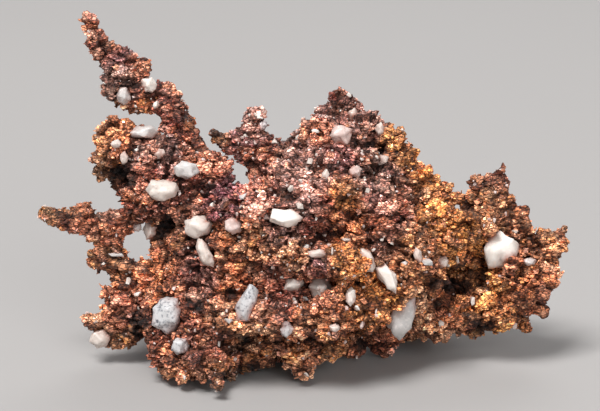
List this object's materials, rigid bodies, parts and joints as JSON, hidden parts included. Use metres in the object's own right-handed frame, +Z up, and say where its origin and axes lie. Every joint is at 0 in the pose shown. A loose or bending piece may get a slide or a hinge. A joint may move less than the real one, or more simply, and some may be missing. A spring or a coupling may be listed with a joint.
{
  "type": "native copper nugget",
  "caption": "Natural nugget of native copper: a spongy, many-armed mass of small crystals that holds white quartz grains, resting on knobs of its underside.",
  "frame": {"origin": "under the middle of the nugget's box, on the ground that it stands on", "axes": "+X across the width of the nugget, towards its broad lobe; +Y back, away from the side with most quartz grains; +Z up, towards the tip of its tall arm"},
  "size_m": [0.0632, 0.032, 0.041],
  "materials": {
    "native_copper": null,
    "milky_quartz": "milky white to pale grey quartz, slightly translucent, waxy to glassy broken faces"
  },
  "bodies": {
    "root": {"copper_mass": "native_copper", "quartz_tall_arm_white": "milky_quartz", "quartz_tall_arm_grey": "milky_quartz", "quartz_left_lobe_top": "milky_quartz", "quartz_left_lobe_rim_high": "milky_quartz", "quartz_left_lobe_rim_low": "milky_quartz", "quartz_left_lobe_middle": "milky_quartz", "quartz_left_lobe_tilted": "milky_quartz", "quartz_left_lobe_heart": "milky_quartz", "quartz_left_arm_twin_left": "milky_quartz", "quartz_left_arm_twin_right": "milky_quartz", "quartz_centre_left_large": "milky_quartz", "quartz_centre_left_small": "milky_quartz", "quartz_centre_left_slanting": "milky_quartz", "quartz_lower_arm_end": "milky_quartz", "quartz_bulb_large": "milky_quartz", "quartz_bulb_low": "milky_quartz", "quartz_lower_middle_slanting": "milky_quartz", "quartz_middle_arm_speckled": "milky_quartz", "quartz_crown_upper": "milky_quartz", "quartz_crown_right": "milky_quartz", "quartz_crown_curved": "milky_quartz", "quartz_upper_right_outer": "milky_quartz", "quartz_upper_right_inner": "milky_quartz", "quartz_upper_shard": "milky_quartz", "quartz_centre_bright": "milky_quartz", "quartz_centre_low_bar": "milky_quartz", "quartz_centre_flat_grey": "milky_quartz", "quartz_centre_grey_white": "milky_quartz", "quartz_right_pointed": "milky_quartz", "quartz_right_slanting_oval": "milky_quartz", "quartz_right_lilac_plate": "milky_quartz", "quartz_right_lobe_small": "milky_quartz", "quartz_right_tall_slanting": "milky_quartz", "quartz_right_lobe_large": "milky_quartz", "quartz_right_lobe_side": "milky_quartz", "quartz_lower_speckled": "milky_quartz", "quartz_lower_shard": "milky_quartz", "quartz_lower_small": "milky_quartz", "quartz_rear_middle_large": "milky_quartz", "quartz_rear_middle_tall": "milky_quartz", "quartz_rear_left_wide": "milky_quartz", "quartz_rear_left_small": "milky_quartz", "quartz_rear_left_lobe": "milky_quartz", "quartz_rear_right_bright": "milky_quartz", "quartz_rear_right_arm": "milky_quartz", "quartz_rear_right_low": "milky_quartz", "quartz_rear_low_middle": "milky_quartz", "quartz_rear_crown": "milky_quartz", "quartz_rear_low_left": "milky_quartz"}
  },
  "joints": []
}
